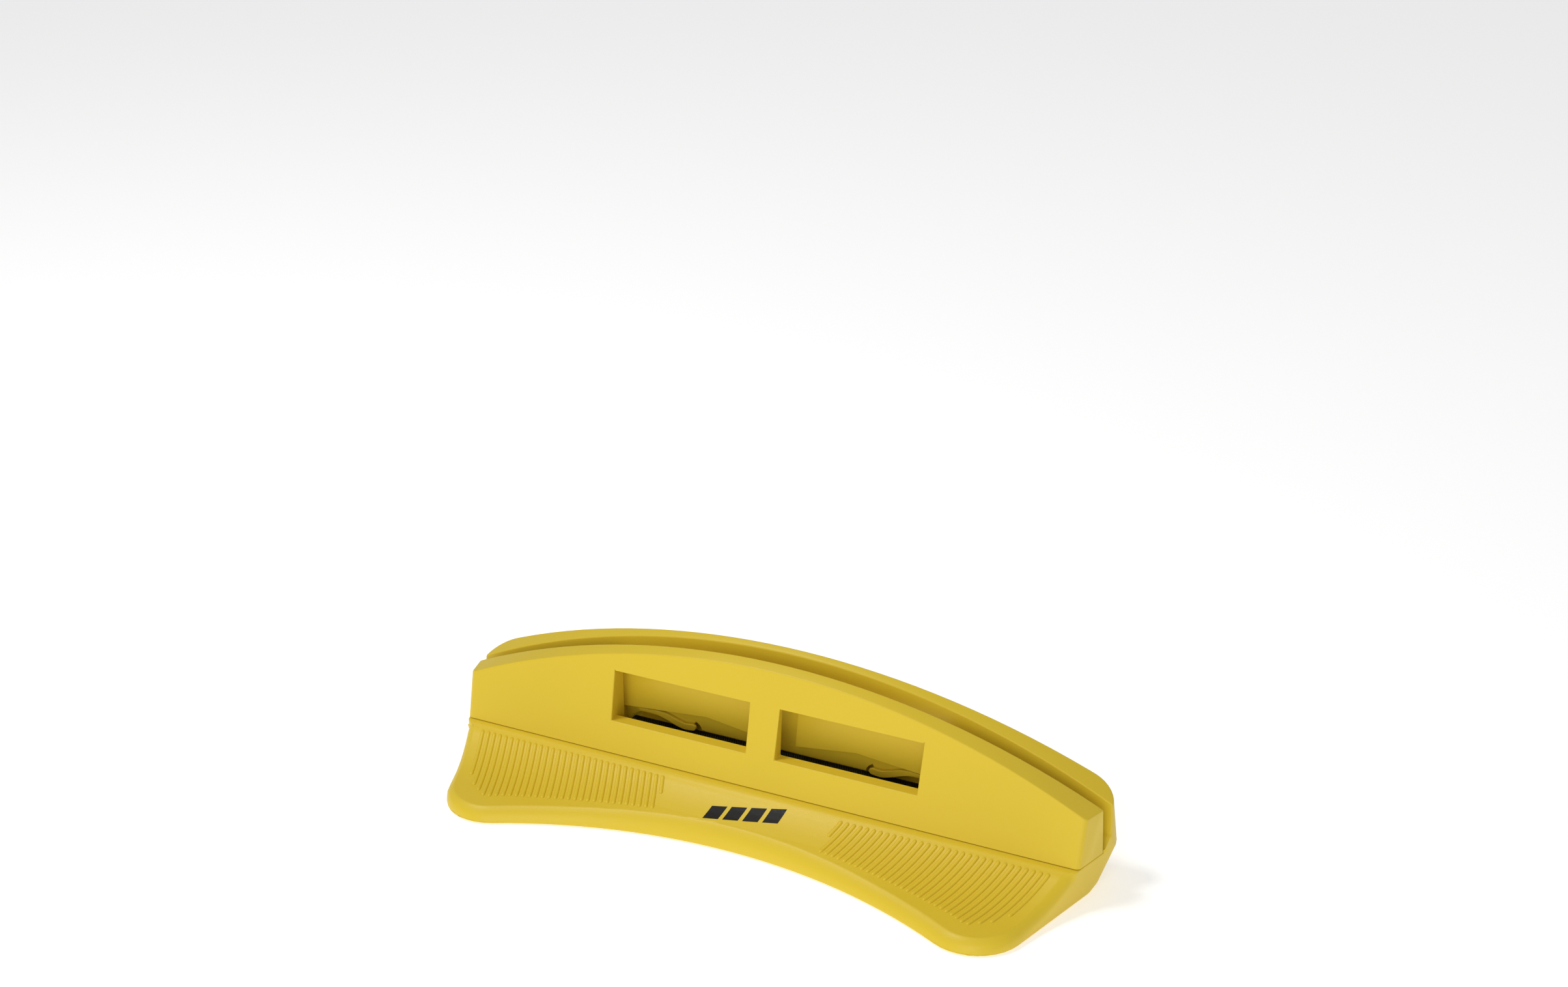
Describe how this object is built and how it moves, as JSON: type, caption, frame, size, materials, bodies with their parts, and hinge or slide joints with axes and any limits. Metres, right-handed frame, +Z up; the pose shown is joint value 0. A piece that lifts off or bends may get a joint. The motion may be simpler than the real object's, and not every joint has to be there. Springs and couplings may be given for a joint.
{
  "type": "ski scraper sharpener",
  "caption": "Bench sharpener for plastic ski scrapers: a wide ribbed foot, a tall arched wall, and a windowed cover forming a long open slot over a flat file held down by spring fingers.",
  "frame": {"origin": "centre of the bounding box, on the bench that the feet stand on", "axes": "+X along the slot, to the right as the user faces the windows; +Y to the back, away from the ribbed foot; +Z up"},
  "size_m": [0.2478, 0.0716, 0.0593],
  "materials": {
    "base_plastic": "satin moulded",
    "cover_plastic": "satin moulded",
    "finger_plastic": "satin moulded",
    "file_steel": "blackened, cross cut",
    "screw_steel": "zinc plated",
    "foot_rubber": "matt"
  },
  "bodies": {
    "base": {"base_body": "base_plastic", "front_cover": "cover_plastic", "sharpening_file": "file_steel", "cover_screw_1": "screw_steel", "cover_screw_2": "screw_steel", "cover_screw_3": "screw_steel", "cover_screw_4": "screw_steel", "rubber_foot_1": "foot_rubber", "rubber_foot_2": "foot_rubber", "rubber_foot_3": "foot_rubber", "rubber_foot_4": "foot_rubber"},
    "finger_left": {"file_finger_left": "finger_plastic"},
    "finger_right": {"file_finger_right": "finger_plastic"}
  },
  "joints": [
    {"name": "finger_left_flex", "type": "hinge", "parent": "base", "child": "finger_left", "pos_m": [-0.054, 0.02575, 0.0234], "axis": [0, -1, 0], "range_deg": [0, 4], "stiffness_Nm_per_rad": 0.3, "springref_deg": -2.86},
    {"name": "finger_right_flex", "type": "hinge", "parent": "base", "child": "finger_right", "pos_m": [0.054, 0.02575, 0.0234], "axis": [0, 1, 0], "range_deg": [0, 4], "stiffness_Nm_per_rad": 0.3, "springref_deg": -2.86}
  ]
}
